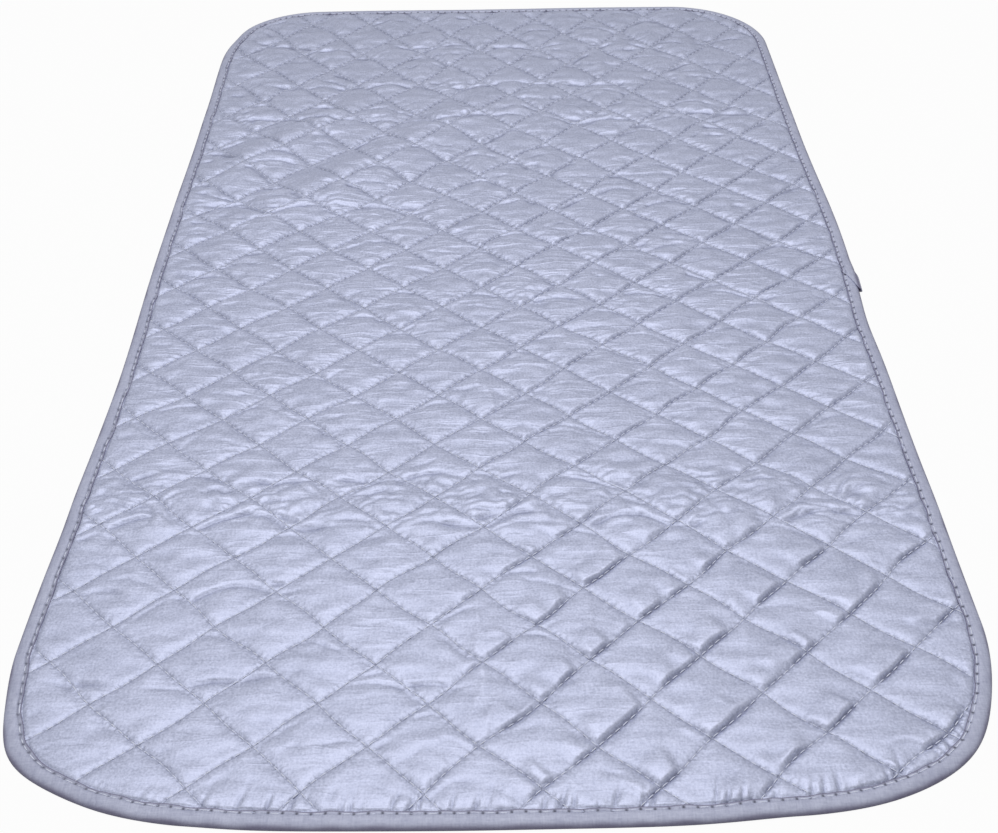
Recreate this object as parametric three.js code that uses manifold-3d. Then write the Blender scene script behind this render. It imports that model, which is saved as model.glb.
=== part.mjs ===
// Quilted ironing pad: a sewn sandwich of a silver-coated face fabric, polyester
// wadding and a backing fabric, bound round its rim with one folded tape.
// Millimetres, +Z up. The pad lies flat on z = 0 with its length along Y, and
// its near edge is at -Y. The tape's ends are lapped on the +X side.

import * as THREE from "three";
import { mergeVertices } from "three/addons/utils/BufferGeometryUtils.js";
import Module from "manifold-3d";

// Outline of the finished pad, whose corners were cut by hand, each a little differently
const PAD_WIDTH = 480;
const PAD_LENGTH = 850;
const NEAR_RIGHT_RADIUS = 110;
const NEAR_LEFT_RADIUS = 99;
const FAR_LEFT_RADIUS = 76;
const FAR_RIGHT_RADIUS = 80;
const CORNER_STEPS = 9;

// Quilting: two families of seams crossing in diamonds. The rows of crossings
// lie closest at the tight row and spread away from it, they bow along their
// length, and the columns lean and draw together towards the far end.
const DIAMOND_WIDTH = 52.4;
const DIAMOND_LENGTH = 43.95;
const MIDDLE_COLUMN_X = -11.7;
const TIGHT_ROW_Y = -156.9;
const ROW_SPREAD = 0.00031;
const ROW_BOW = 0.058;
const BOW_COLUMN = -1.4;
const COLUMN_TAPER = 0.0014;
const COLUMN_LEAN = -0.195;
const LAST_COLUMN = 11;
const FIRST_ROW = -14;
const LAST_ROW = 25;
const CROWN_LOFT = 3.5;
const RIM_SLOPE_SHARE = 0.11;
const WEAKEST_CROWN_SHARE = 0.56;
const SEAM_MARGIN = 2;

// Layers
const FACE_THICKNESS = 0.3;
const SEWN_WADDING_THICKNESS = 0.5;
const BACKING_THICKNESS = 0.3;
const LAYER_GAP = 0.3;
const EDGE_INSET = 3;

// Where the backing and the wadding step down from the binding to the table
const STEP_RUN = 3.3;
const STEP_LAG = 0.6;

// Binding tape: both legs of the fold, the fold itself, and the lapped join
const TAPE_WIDTH = 8.6;
const TAPE_THICKNESS = 0.5;
const TAPE_FOLD_DEPTH = 1.2;
const FOLD_STEPS = 6;
const JOIN_Y = -10;
const LAP_LENGTH = 23;
const LAP_SLANT_SHARE = 0.85;
const LAP_RAMP = 15;
const LAP_OVERRUN = 2;
const LAP_END_STEP = 2;

// Heights, stacked from the table up
const halfWidth = PAD_WIDTH / 2;
const halfLength = PAD_LENGTH / 2;
const backingStep = TAPE_THICKNESS + LAYER_GAP;
const backingTop = backingStep + BACKING_THICKNESS;
const waddingBase = backingTop + LAYER_GAP;
const waddingSeam = waddingBase + SEWN_WADDING_THICKNESS;
const faceBase = waddingSeam + LAYER_GAP;
const faceSeam = faceBase + FACE_THICKNESS;
const tapeTop = faceSeam + LAYER_GAP + TAPE_THICKNESS;
const tapeRise = RIM_SLOPE_SHARE * (TAPE_WIDTH - EDGE_INSET);
const lapLift = TAPE_THICKNESS + LAYER_GAP;

const materials = {
  face: { color: 0xbec3d8, roughness: 0.45, metalness: 0.35 },
  wadding: { color: 0xf1f1ee, roughness: 1, metalness: 0 },
  backing: { color: 0xc9c9c6, roughness: 0.9, metalness: 0 },
  tape: { color: 0xa9afc3, roughness: 0.75, metalness: 0 },
};

// The outline's corners in the order in which the binding goes round them
const corners = [
  { signX: 1, signY: -1, radius: NEAR_RIGHT_RADIUS },
  { signX: -1, signY: -1, radius: NEAR_LEFT_RADIUS },
  { signX: -1, signY: 1, radius: FAR_LEFT_RADIUS },
  { signX: 1, signY: 1, radius: FAR_RIGHT_RADIUS },
];

// How far a point lies inside the rounded outline, negative outside, with the
// direction that leads straight inwards from the nearest edge.
function insideOutline(x, y) {
  const signX = x < 0 ? -1 : 1;
  const signY = y < 0 ? -1 : 1;
  const { radius } = corners.find((corner) => corner.signX === signX && corner.signY === signY);
  const overX = Math.abs(x) - (halfWidth - radius);
  const overY = Math.abs(y) - (halfLength - radius);
  if (overX > 0 && overY > 0) {
    const reach = Math.hypot(overX, overY);
    const inward = [(-signX * overX) / reach, (-signY * overY) / reach];
    return { depth: radius - reach, inward };
  }
  const toSide = halfWidth - Math.abs(x);
  const toEnd = halfLength - Math.abs(y);
  const inward = toSide < toEnd ? [-signX, 0] : [0, -signY];
  return { depth: Math.min(toSide, toEnd), inward };
}

// Stations on the outline, clockwise seen from above, starting on the +X side
// at startY and ending there: each is a point and its inward direction.
function outlineStations(startY, endY) {
  const stations = [{ point: [halfWidth, startY], inward: [-1, 0] }];
  corners.forEach(({ signX, signY, radius }, corner) => {
    const centre = [signX * (halfWidth - radius), signY * (halfLength - radius)];
    for (let step = 0; step <= CORNER_STEPS; step += 1) {
      const angle = (-Math.PI / 2) * (corner + step / CORNER_STEPS);
      const outward = [Math.cos(angle), Math.sin(angle)];
      stations.push({
        point: centre.map((value, axis) => value + radius * outward[axis]),
        inward: outward.map((value) => -value),
      });
    }
  });
  stations.push({ point: [halfWidth, endY], inward: [-1, 0] });
  return stations;
}

// A mesh under construction: points and the triangles between them
function emptySkin() {
  return { points: [], triangles: [] };
}

function geometryOf(skin) {
  const geometry = new THREE.BufferGeometry();
  geometry.setAttribute("position", new THREE.Float32BufferAttribute(skin.points.flat(), 3));
  geometry.setIndex(skin.triangles.flat());
  return mergeVertices(geometry);
}

function meshOf(name, geometry, finish) {
  const flat = geometry.toNonIndexed();
  flat.computeVertexNormals();
  const mesh = new THREE.Mesh(flat, new THREE.MeshStandardMaterial(finish));
  mesh.name = name;
  return mesh;
}

// Where the quilting's lattice has its point of that column and row: two seams
// cross where column and row add up to an even number, and the middle of a
// diamond lies where they add up to an odd one.
function latticePoint(column, row) {
  const across = (DIAMOND_WIDTH / 2) * column * (1 - COLUMN_TAPER * row);
  const along = (DIAMOND_LENGTH / 2) * (row + ROW_SPREAD * row ** 3);
  const bow = ROW_BOW * (column - BOW_COLUMN) ** 2;
  return [MIDDLE_COLUMN_X + across + COLUMN_LEAN * row, TIGHT_ROW_Y + along + bow];
}

// The quilted surface in plan. Seams run between the corners of the diamonds,
// and each diamond that keeps its loft has a crown in its middle. A corner that
// falls past the cut edge is drawn straight in onto it, under the binding.
function quiltPlan() {
  const vertices = new Map();
  const triangles = [];

  const corner = (column, row) => {
    const [x, y] = latticePoint(column, row);
    const { depth, inward } = insideOutline(x, y);
    const room = depth - EDGE_INSET;
    if (room > SEAM_MARGIN) {
      return { key: `${column},${row}`, x, y, room, whole: true };
    }
    const place = [x - room * inward[0], y - room * inward[1]];
    return { key: `${column},${row}`, x: place[0], y: place[1], room: 0, whole: false };
  };
  const indexOf = (vertex) => {
    if (!vertices.has(vertex.key)) {
      vertices.set(vertex.key, { ...vertex, index: vertices.size });
    }
    return vertices.get(vertex.key).index;
  };

  for (let column = -LAST_COLUMN; column <= LAST_COLUMN; column += 1) {
    for (let row = FIRST_ROW; row <= LAST_ROW; row += 1) {
      if ((column + row) % 2 === 0) {
        continue;
      }
      const ring = [[1, 0], [0, 1], [-1, 0], [0, -1]].map(
        ([across, along]) => corner(column + across, row + along),
      );
      const kept = ring.filter(({ whole }, place) => (
        whole || ring[(place + 1) % ring.length].whole || ring.at(place - 1).whole
      ));
      if (kept.length < 3) {
        continue;
      }
      const polygon = kept.map(indexOf);
      const middle = corner(column, row);
      const loft = Math.min(CROWN_LOFT, RIM_SLOPE_SHARE * middle.room);
      if (loft > WEAKEST_CROWN_SHARE * CROWN_LOFT) {
        const crown = indexOf({ ...middle, loft });
        polygon.forEach((here, place) => {
          triangles.push([here, polygon[(place + 1) % polygon.length], crown]);
        });
      } else {
        polygon.slice(2).forEach((last, place) => {
          triangles.push([polygon[0], polygon[place + 1], last]);
        });
      }
    }
  }
  return { vertices: [...vertices.values()], triangles };
}

// The edges that belong to one triangle only, chained into the plan's rim
function rimOf(triangles) {
  const edges = new Map();
  triangles.forEach((triangle) => {
    triangle.forEach((from, place) => {
      const to = triangle[(place + 1) % 3];
      edges.set(`${from},${to}`, [from, to]);
    });
  });
  const next = new Map();
  edges.forEach(([from, to]) => {
    if (!edges.has(`${to},${from}`)) {
      next.set(from, to);
    }
  });
  const start = next.keys().next().value;
  const rim = [start];
  while (next.get(rim[rim.length - 1]) !== start) {
    rim.push(next.get(rim[rim.length - 1]));
  }
  return rim;
}

// Adds a band of triangles between two closed rings of equally many points
function addBand(skin, outer, inner) {
  outer.forEach((here, place) => {
    const after = (place + 1) % outer.length;
    skin.triangles.push([here, outer[after], inner[after]], [here, inner[after], inner[place]]);
  });
}

// Adds a level surface that lies raised under the binding and steps down to
// its middle: three rings of points, two bands and a flat filling. rim holds
// points on the cut edge, anticlockwise; the surface faces up.
function addSteppedSurface(skin, rim, lag, raised, middle) {
  const depths = [0, TAPE_WIDTH + LAYER_GAP + lag - EDGE_INSET];
  depths.push(depths[1] + STEP_RUN);
  const heights = [raised, raised, middle];
  const rings = depths.map((depth, ring) => rim.map(({ point, inward }) => {
    const place = point.map((value, axis) => value + depth * inward[axis]);
    skin.points.push([...place, heights[ring]]);
    return skin.points.length - 1;
  }));
  addBand(skin, rings[0], rings[1]);
  addBand(skin, rings[1], rings[2]);
  const contour = rings[2].map((place) => new THREE.Vector2(...skin.points[place]));
  THREE.ShapeUtils.triangulateShape(contour, []).forEach((face) => {
    skin.triangles.push(face.map((place) => rings[2][place]));
  });
  return rings[0];
}

// Turns the triangles added since a count, for a surface that faces down
function turnFrom(skin, count) {
  for (let place = count; place < skin.triangles.length; place += 1) {
    skin.triangles[place].reverse();
  }
}

// Quilted face fabric: one thickness of cloth over the crowns and seams
function faceFabric(plan) {
  const skin = emptySkin();
  const rim = rimOf(plan.triangles);
  const levels = [faceSeam, faceBase];
  levels.forEach((level) => {
    plan.vertices.forEach(({ x, y, loft = 0 }) => skin.points.push([x, y, level + loft]));
  });
  const under = (place) => place + plan.vertices.length;
  plan.triangles.forEach((triangle) => {
    skin.triangles.push(triangle, triangle.map(under).reverse());
  });
  addBand(skin, rim.map(under), rim);
  return geometryOf(skin);
}

// Wadding: swells between the seams on top and lies on the backing below
function wadding(plan) {
  const skin = emptySkin();
  const rim = rimOf(plan.triangles);
  plan.vertices.forEach(({ x, y, loft = 0 }) => skin.points.push([x, y, waddingSeam + loft]));
  skin.triangles.push(...plan.triangles);
  const edge = rim.map((place) => {
    const { x, y } = plan.vertices[place];
    return { point: [x, y], inward: insideOutline(x, y).inward };
  });
  const count = skin.triangles.length;
  const middle = BACKING_THICKNESS + LAYER_GAP;
  const underRim = addSteppedSurface(skin, edge, STEP_LAG, waddingBase, middle);
  turnFrom(skin, count);
  addBand(skin, underRim, rim);
  return geometryOf(skin);
}

// Backing fabric: flat on the table, raised under the binding
function backingFabric() {
  const skin = emptySkin();
  const edge = outlineStations(JOIN_Y, JOIN_Y).slice(1, -1).reverse().map(({ point, inward }) => ({
    point: point.map((value, axis) => value + EDGE_INSET * inward[axis]),
    inward,
  }));
  const upper = addSteppedSurface(skin, edge, 0, backingTop, BACKING_THICKNESS);
  const count = skin.triangles.length;
  const lower = addSteppedSurface(skin, edge, 0, backingStep, 0);
  turnFrom(skin, count);
  addBand(skin, lower, upper);
  return geometryOf(skin);
}

// Section of the folded tape: [distance in from the outline, height]. A lifted
// section stands off the plain one all round its upper side. The arc of the
// fold starts at firstStep, and only a whole section has its lower leg.
function tapeSection(lift, firstStep) {
  const centreHeight = tapeTop / 2;
  const arc = (reach, tallness, floor) => {
    const points = [];
    for (let step = firstStep; step <= FOLD_STEPS; step += 1) {
      const angle = Math.PI * (step / FOLD_STEPS - 1 / 2);
      const height = centreHeight + tallness * Math.sin(angle);
      points.push([TAPE_FOLD_DEPTH - reach * Math.cos(angle), Math.max(floor, height)]);
    }
    return points;
  };
  const outer = arc(TAPE_FOLD_DEPTH + lift, centreHeight + lift, 0);
  const stand = lift - TAPE_THICKNESS;
  const inner = arc(TAPE_FOLD_DEPTH + stand, centreHeight + stand, TAPE_THICKNESS);
  const legTop = tapeTop + lift + tapeRise;
  const upperLeg = [[TAPE_WIDTH, legTop], [TAPE_WIDTH, legTop - TAPE_THICKNESS]];
  const lowerLeg = firstStep === 0 ? [[TAPE_WIDTH, TAPE_THICKNESS], [TAPE_WIDTH, 0]] : [];
  return [...outer, ...upperLeg, ...inner.reverse(), ...lowerLeg];
}

// A run of tape through stations, each with its own section. The last station
// may lean: its inner edge then ends short of its fold.
function tapeRun(stations, sections, lean) {
  const skin = emptySkin();
  const size = sections[0].length;
  stations.forEach(({ point, inward }, station) => {
    const short = station === stations.length - 1 ? lean : 0;
    sections[station].forEach(([depth, height]) => {
      const back = (short * Math.max(depth, 0)) / TAPE_WIDTH;
      skin.points.push([
        point[0] + depth * inward[0],
        point[1] + depth * inward[1] + back,
        height,
      ]);
    });
  });
  for (let station = 0; station + 1 < stations.length; station += 1) {
    for (let place = 0; place < size; place += 1) {
      const here = station * size + place;
      const beside = station * size + ((place + 1) % size);
      const ahead = here + size;
      const aheadBeside = beside + size;
      skin.triangles.push([here, aheadBeside, ahead], [here, beside, aheadBeside]);
    }
  }
  const [startCap, endCap] = [sections[0], sections[sections.length - 1]].map((section) => (
    THREE.ShapeUtils.triangulateShape(section.map((place) => new THREE.Vector2(...place)), [])
  ));
  const last = (stations.length - 1) * size;
  skin.triangles.push(...startCap);
  skin.triangles.push(...endCap.map((face) => face.map((place) => place + last).reverse()));
  return geometryOf(skin);
}

const library = await Module();
library.setup();

function solidOf(geometry) {
  return new library.Manifold(new library.Mesh({
    numProp: 3,
    vertProperties: new Float32Array(geometry.attributes.position.array),
    triVerts: new Uint32Array(geometry.index.array),
  }));
}

function geometryOfSolid(solid) {
  const { vertProperties, triVerts } = solid.getMesh();
  const geometry = new THREE.BufferGeometry();
  geometry.setAttribute("position", new THREE.BufferAttribute(vertProperties, 3));
  geometry.setIndex(new THREE.BufferAttribute(triVerts, 1));
  return geometry;
}

// Binding: one tape folded over the rim. It starts at the join, goes once
// round, climbs over its own start and ends in a slanting flap lapped on it.
function binding() {
  const joinEnd = JOIN_Y + LAYER_GAP;
  const round = outlineStations(JOIN_Y, JOIN_Y + LAP_RAMP);
  const side = (y) => ({ point: [halfWidth, y], inward: [-1, 0] });
  const climb = [side(joinEnd + LAP_OVERRUN), side(joinEnd)];
  const whole = tapeRun(
    [...round, ...climb],
    [...round.map(() => tapeSection(0, 0)), ...climb.map(() => tapeSection(lapLift, 0))],
    0,
  );
  const flapStations = [side(joinEnd + LAP_OVERRUN / 2), side(JOIN_Y - LAP_LENGTH)];
  const flap = tapeRun(
    flapStations,
    flapStations.map(() => tapeSection(lapLift, LAP_END_STEP)),
    LAP_SLANT_SHARE * LAP_LENGTH,
  );
  return geometryOfSolid(solidOf(whole).add(solidOf(flap)));
}

const plan = quiltPlan();
const group = new THREE.Group();
group.name = "ironing_pad";
group.add(meshOf("face_fabric", faceFabric(plan), materials.face));
group.add(meshOf("batting", wadding(plan), materials.wadding));
group.add(meshOf("backing_fabric", backingFabric(), materials.backing));
group.add(meshOf("binding", binding(), materials.tape));

// The lapped flap stands proud on +X, so the pad moves back by half of that
// and the whole object is centred on the Z axis.
group.position.x = -lapLift / 2;
group.updateMatrixWorld(true);

export default group;
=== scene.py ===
"""Looks of a quilted ironing pad: silver face fabric, wadding, backing, bound rim and sewn seams.

Lengths in the shape functions are millimetres on the pad, with x across, y along and z up.
They become metres only when a mesh is written.
"""

import math

import bpy
import numpy as np
from mathutils import Matrix, Vector


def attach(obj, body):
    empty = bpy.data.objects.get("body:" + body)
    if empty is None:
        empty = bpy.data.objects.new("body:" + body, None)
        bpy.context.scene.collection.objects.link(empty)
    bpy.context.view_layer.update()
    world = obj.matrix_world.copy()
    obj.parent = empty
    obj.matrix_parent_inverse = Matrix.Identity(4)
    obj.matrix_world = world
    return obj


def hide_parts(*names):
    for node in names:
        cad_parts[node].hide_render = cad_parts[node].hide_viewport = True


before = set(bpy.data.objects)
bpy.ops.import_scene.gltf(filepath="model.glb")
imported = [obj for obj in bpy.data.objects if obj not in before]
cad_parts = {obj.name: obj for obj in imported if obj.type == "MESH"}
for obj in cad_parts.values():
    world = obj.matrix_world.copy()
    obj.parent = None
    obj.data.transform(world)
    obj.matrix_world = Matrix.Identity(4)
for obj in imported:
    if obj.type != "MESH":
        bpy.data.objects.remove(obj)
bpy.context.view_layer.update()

MM = 0.001

# Outline of the pad, and where it sits in the frame
HALF_WIDTH = 240.0
HALF_LENGTH = 425.0
NEAR_RIGHT_RADIUS = 110.0
NEAR_LEFT_RADIUS = 99.0
FAR_LEFT_RADIUS = 76.0
FAR_RIGHT_RADIUS = 80.0
EDGE_INSET = 3.0
PAD_SHIFT_X = -0.4

# Quilting lattice, the same as the part's
DIAMOND_WIDTH = 52.4
DIAMOND_LENGTH = 43.95
MIDDLE_COLUMN_X = -11.7
TIGHT_ROW_Y = -156.9
ROW_SPREAD = 0.00031
ROW_BOW = 0.058
BOW_COLUMN = -1.4
COLUMN_TAPER = 0.0014
COLUMN_LEAN = -0.195
SEAM_WANDER = 0.7
FIRST_COLUMN, LAST_COLUMN = -10, 11
FIRST_ROW, LAST_ROW = -14, 25

SIDE = math.hypot(DIAMOND_WIDTH, DIAMOND_LENGTH) / 2

# Heights of the layers at a seam
FACE_THICKNESS = 0.3
BACKING_THICKNESS = 0.3
SEAM_TOP = 2.5
LOWEST_FACE = 1.45
FACE_STITCH_HEIGHT = SEAM_TOP - 0.1
BACK_STITCH_HEIGHT = 0.32

# Binding tape: its section, and the lap of its two ends on the right side
TAPE_WIDTH = 8.6
TAPE_THICKNESS = 0.5
TAPE_TOP = 3.1
EDGE_ROUND = 4.2
EDGE_FOOT = 0.5
LEG_SLOPE = 0.03
LEG_DROOP = 0.55
DROOP_START = 6.4
DROOP_LENGTH = 2.2
STATION_STEP = 1.5
LAP_LIFT = 0.8
JOIN_Y = -10.0
LAP_LENGTH = 23.0
LAP_CLIMB = 16.0
LAP_SLANT = 0.85

# Stitches of the binding's seam: pitch, way in from the edge, and heights on both legs
STITCH_PITCH = 6.3
STITCH_DEPTH = 7.3
TAPE_STITCH_HEIGHT = TAPE_TOP - 0.24
UNDER_STITCH_HEIGHT = -0.05

# Thread of all seams, how far inside the outline the quilting's stitches end, and the
# half length of a stitch as a share of its pitch
THREAD_RADIUS = 0.26
SEAM_END = 9.4
QUILTING_HALF = 0.4
BINDING_HALF = 0.42
THREAD_SIDES = 5

# Cloth: cells of the grid between two crossings, and the scale it is simulated at
CLOTH_CELLS = 12
CLOTH_SCALE = 0.1
CLOTH_FRAMES = 16

# Width of cloth that the binding holds, and how far the rest may slide, sink and rise
HELD_EDGE = 6.0
CLOTH_SLIDE = 1.6
CLOTH_SINK = 0.4
CLOTH_RISE = 5.5

# Stitches along one side of a diamond, and the size of the table of its random shares
STITCHES = 7
DRAWN = 80

# Finer cells on the finished surface: how many of them make one block of its underside,
# and how many each way are a point's surroundings
FINE_CELLS = 2 * CLOTH_CELLS
BLOCK_CELLS = 6
HOLLOW_REACH = 3

# Cells of the hidden layers between two crossings
WADDING_CELLS = 6
BACKING_CELLS = 7

# Wadding: its gaps to the cut edge, the backing and the face, and its least thickness
WADDING_INSET = 0.4
WADDING_OVER_BACKING = 0.1
WADDING_UNDER_FACE = 0.08
WADDING_THINNEST = 0.15

# Bells along the pad's edges, by which it lies wider or narrower: height, middle, width
LEFT_BOWS = ((3.4, -120, 95), (-2.6, 325, 80), (-1.2, -325, 60), (1.0, -240, 25), (4.0, 366, 22))
RIGHT_BOWS = ((2.9, 45, 75), (-1.0, -190, 110), (-1.6, -68, 30))
NEAR_BOWS = ((4.4, 142, 42), (3.2, -158, 34))

# Bells along y where the pack folded the pad: its rise, and how it wrinkles there
FOLD_RISES = ((1.6, -232, 26), (0.8, 210, 30))
FOLD_WRINKLES = ((1.0, -226, 24), (0.6, 210, 18))

# Arched creases: seed, nearest and farthest start, bow, depth, and share of diamonds without one
ARCHED_CREASES = (
    (71, 4.0, 9.0, 0.020, 1.8, 0.25),
    (72, 12.0, 21.0, 0.013, 1.1, 0.40),
    (73, 23.0, 33.0, 0.007, 0.8, 0.50),
)

# Creases from side to side: y, the two ends in x, weight
CROSS_DEPTH = 1.3
CROSS_CREASES = (
    (-347, -240, 0, 1.6), (-290, -240, -70, 1.3), (-240, -240, 240, 1.7),
    (-207, -240, 90, 1.6), (-36, -80, 240, 1.3), (77, -240, 0, 1.4),
    (209, -240, 240, 1.5), (268, -240, 130, 1.3), (343, -240, 240, 1.2),
    (-300, 60, 200, 0.4), (20, 60, 240, 0.8), (140, -240, -60, 0.8),
)

# Ridges from near to far: x, the two ends in y, weight
RIDGE_HEIGHT = 0.65
LONG_RIDGES = (
    (-30, -370, -300, 0.5), (-12, -375, -290, 0.8), (-4, -400, -340, 0.8),
    (44, -345, -290, 0.6), (78, -355, -300, 0.5), (117, -350, -300, 0.5),
    (-14, -290, -100, 0.4), (-7, -180, -110, 0.7), (-19, -170, -60, 0.45),
    (-15, -60, 200, 0.4), (-22, 220, 410, 0.5), (-33, 240, 380, 0.45),
    (3, -165, -120, 0.6), (60, -320, -240, 0.45),
)

# The camera, from the photograph's viewpoint
CAMERA_PLACE = (1.849, -717.76, 499.18)
CAMERA_PITCH = math.radians(41.4935)
CAMERA_YAW = math.radians(0.3001)
CAMERA_ROLL = math.radians(0.9426)
PHOTO_WIDTH = 998
FOCAL_PIXELS = 1259.18
SENSOR = 36.0

# Stage, in metres: floor, and the one lamp above it
FLOOR_SIZE = 40
FLOOR_COLOUR = (0.5, 0.5, 0.5, 1)
FLOOR_GLOW = 0.96
WORLD_STRENGTH = 0.3
LAMP_PLACE = (-0.05, -0.05, 1.7)
LAMP_SIZE = 1.0
LAMP_POWER = 20.0
WHITE = (1, 1, 1, 1)


def smooth(value):
    """Smooth step: 3 v^2 - 2 v^3 with v held between 0 and 1."""
    v = np.clip(value, 0, 1)
    return v * v * (3 - 2 * v)


def bell(value, width):
    """exp(-(value / width)^2)"""
    return np.exp(-(value / width) ** 2)


def round_bell(x, y, wide, long):
    """exp(-(x / wide)^2 - (y / long)^2)"""
    return np.exp(-(x / wide) ** 2 - (y / long) ** 2)


def flat_bell(value, width):
    """Bell with a flat top: exp(-(value / width)^4)"""
    return np.exp(-(value / width) ** 4)


def bells(value, rows):
    """Sum of bells, each given by its height, middle and width."""
    return sum(height * bell(value - middle, width) for height, middle, width in rows)


def corner_radius(x, y):
    """Radius of the outline's corner in the quarter of the pad that holds a point."""
    near = np.where(x < 0, NEAR_LEFT_RADIUS, NEAR_RIGHT_RADIUS)
    far = np.where(x < 0, FAR_LEFT_RADIUS, FAR_RIGHT_RADIUS)
    return np.where(y < 0, near, far)


def inside_outline(x, y):
    """Depth inside the rounded rectangle, negative outside, and the unit way inwards.

    Along a side it is the distance to that side; in a corner it is the corner's
    radius less the distance from the corner's centre.
    """
    radius = corner_radius(x, y)
    over_x = np.abs(x) - (HALF_WIDTH - radius)
    over_y = np.abs(y) - (HALF_LENGTH - radius)
    reach = np.maximum(np.hypot(over_x, over_y), 1e-6)
    corner = (over_x > 0) & (over_y > 0)
    side = HALF_WIDTH - np.abs(x)
    end = HALF_LENGTH - np.abs(y)
    depth = np.where(corner, radius - reach, np.minimum(side, end))
    in_x = np.where(corner, over_x / reach, np.where(side < end, 1.0, 0.0)) * -np.sign(x)
    in_y = np.where(corner, over_y / reach, np.where(side < end, 0.0, 1.0)) * -np.sign(y)
    return depth, in_x, in_y


def settle(x, y):
    """How the cloth lies: its edges bow in and out by a few millimetres, each by bells
    along the edge that fade to nothing at the middle of the pad, and its two near
    corners stand out, each by a round bell."""
    near = bells(x, NEAR_BOWS) * smooth((-y - 365) / 50)
    near = near - 1.4 * bell(x, 110) * smooth(-y / HALF_LENGTH)
    far = -4.5 * smooth(y / HALF_LENGTH - 0.3)
    at_left = smooth(-x / HALF_WIDTH)
    at_right = smooth(x / HALF_WIDTH)
    left_corner = round_bell(x + 226, y + 388, 30, 28)
    right_corner = round_bell(x - 214, y + 388, 34, 30)
    across = at_left * bells(y, LEFT_BOWS) + at_right * bells(y, RIGHT_BOWS)
    across = across - 6.6 * left_corner + 3.0 * right_corner
    return x + across, y + near + far - 3.4 * left_corner - 2.0 * right_corner


def lattice_point(column, row):
    """Place of a column and row of the quilting: x runs with the column, tapering
    and leaning with the row; y runs with row + spread * row^3, bowed by column^2, and
    is drawn nearer on the far left. Slow waves make both wander."""
    across = DIAMOND_WIDTH / 2 * column * (1 - COLUMN_TAPER * row)
    along = DIAMOND_LENGTH / 2 * (row + ROW_SPREAD * row ** 3)
    bow = ROW_BOW * (column - BOW_COLUMN) ** 2
    x = MIDDLE_COLUMN_X + across + COLUMN_LEAN * row
    y = TIGHT_ROW_Y + along + bow
    drawn = 6 * smooth((-x - 20) / 60) * smooth((y - 40) / 60)
    y = y - drawn * (1 - 0.3 * smooth((y - 330) / 60))
    wander_x = SEAM_WANDER * waves(x, y, 3, 14, 22, 110, 0.8, 1.5)
    wander_y = SEAM_WANDER * waves(x, y, 4, 14, 22, 110, 0.8, 1.5)
    return x + wander_x, y + wander_y


def waves(x, y, seed, count, shortest, longest, heading, spread):
    """Sum of plane sine waves of unit root mean square: wavelengths between two
    limits, crests square to a heading with some spread, phases drawn at random."""
    draw = np.random.default_rng(seed)
    total = 0.0
    for _ in range(count):
        k = 2 * np.pi / draw.uniform(shortest, longest)
        angle = heading + draw.normal(0, spread)
        phase = draw.uniform(0, 2 * np.pi)
        total = total + np.sin(k * (np.cos(angle) * x + np.sin(angle) * y) + phase)
    return total * math.sqrt(2 / count)


def lift(x, y):
    """Height of the whole pad off the table: two soft folds left by its pack,
    each a bell along y, two low ridges along seams on the far left, each risen to
    and left by smooth steps of y - x, and a slow unevenness, never below the table."""
    slow = 0.35 * (1 + np.tanh(waves(x, y, 11, 9, 150, 380, 1.1, 1.2)))
    slant = y - x
    upper = smooth((374 - slant) / 33) * smooth((slant - 284) / 57)
    lower = smooth((280 - slant) / 42) * smooth((slant - 176) / 62)
    upper = upper * smooth((x + 250) / 60) * smooth((-x - 80) / 70)
    lower = lower * smooth((x + 215) / 60) * smooth((10 - x) / 70)
    folds = bells(y, FOLD_RISES) * (0.75 + 0.25 * np.sin(x / 55))
    return folds + slow + 4.4 * upper + 4.0 * lower


def mesh_object(name, points, *face_sets, chart=None, hollow=None):
    """Object from points in pad millimetres and sets of faces: an array of equal
    faces, or a list of faces of any sizes. The points settle as the cloth lies.
    A chart gives each point its place in the pattern and becomes the UV map, and
    hollow tells how far each point lies under its surroundings, for the painted
    shade and painted highlight in the material's colour."""
    points = np.asarray(points, float).copy()
    points[:, 0], points[:, 1] = settle(points[:, 0], points[:, 1])
    points[:, 0] += PAD_SHIFT_X
    loops, counts = [], []
    for faces in face_sets:
        if isinstance(faces, np.ndarray):
            loops.append(faces.ravel())
            counts.append(np.full(len(faces), faces.shape[1]))
        elif faces:
            loops.append(np.concatenate([np.asarray(face) for face in faces]))
            counts.append(np.array([len(face) for face in faces]))
    loops = np.concatenate(loops).astype(np.int32)
    counts = np.concatenate(counts)
    starts = np.concatenate([[0], np.cumsum(counts)[:-1]]).astype(np.int32)
    mesh = bpy.data.meshes.new(name)
    mesh.vertices.add(len(points))
    mesh.vertices.foreach_set("co", (points * MM).astype(np.float32).ravel())
    mesh.loops.add(len(loops))
    mesh.loops.foreach_set("vertex_index", loops)
    mesh.polygons.add(len(counts))
    mesh.polygons.foreach_set("loop_start", starts)
    mesh.polygons.foreach_set("use_smooth", np.ones(len(counts), bool))
    mesh.update(calc_edges=True)
    mesh.validate()
    if chart is not None:
        corner = np.empty(len(mesh.loops), np.int32)
        mesh.loops.foreach_get("vertex_index", corner)
        layer = mesh.uv_layers.new(name="pattern")
        layer.data.foreach_set("uv", chart[corner].astype(np.float32).ravel())
    if hollow is not None:
        values = mesh.attributes.new("hollow", "FLOAT", "POINT")
        values.data.foreach_set("value", hollow.astype(np.float32))
    piece = bpy.data.objects.new(name, mesh)
    bpy.context.scene.collection.objects.link(piece)
    return piece


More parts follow.
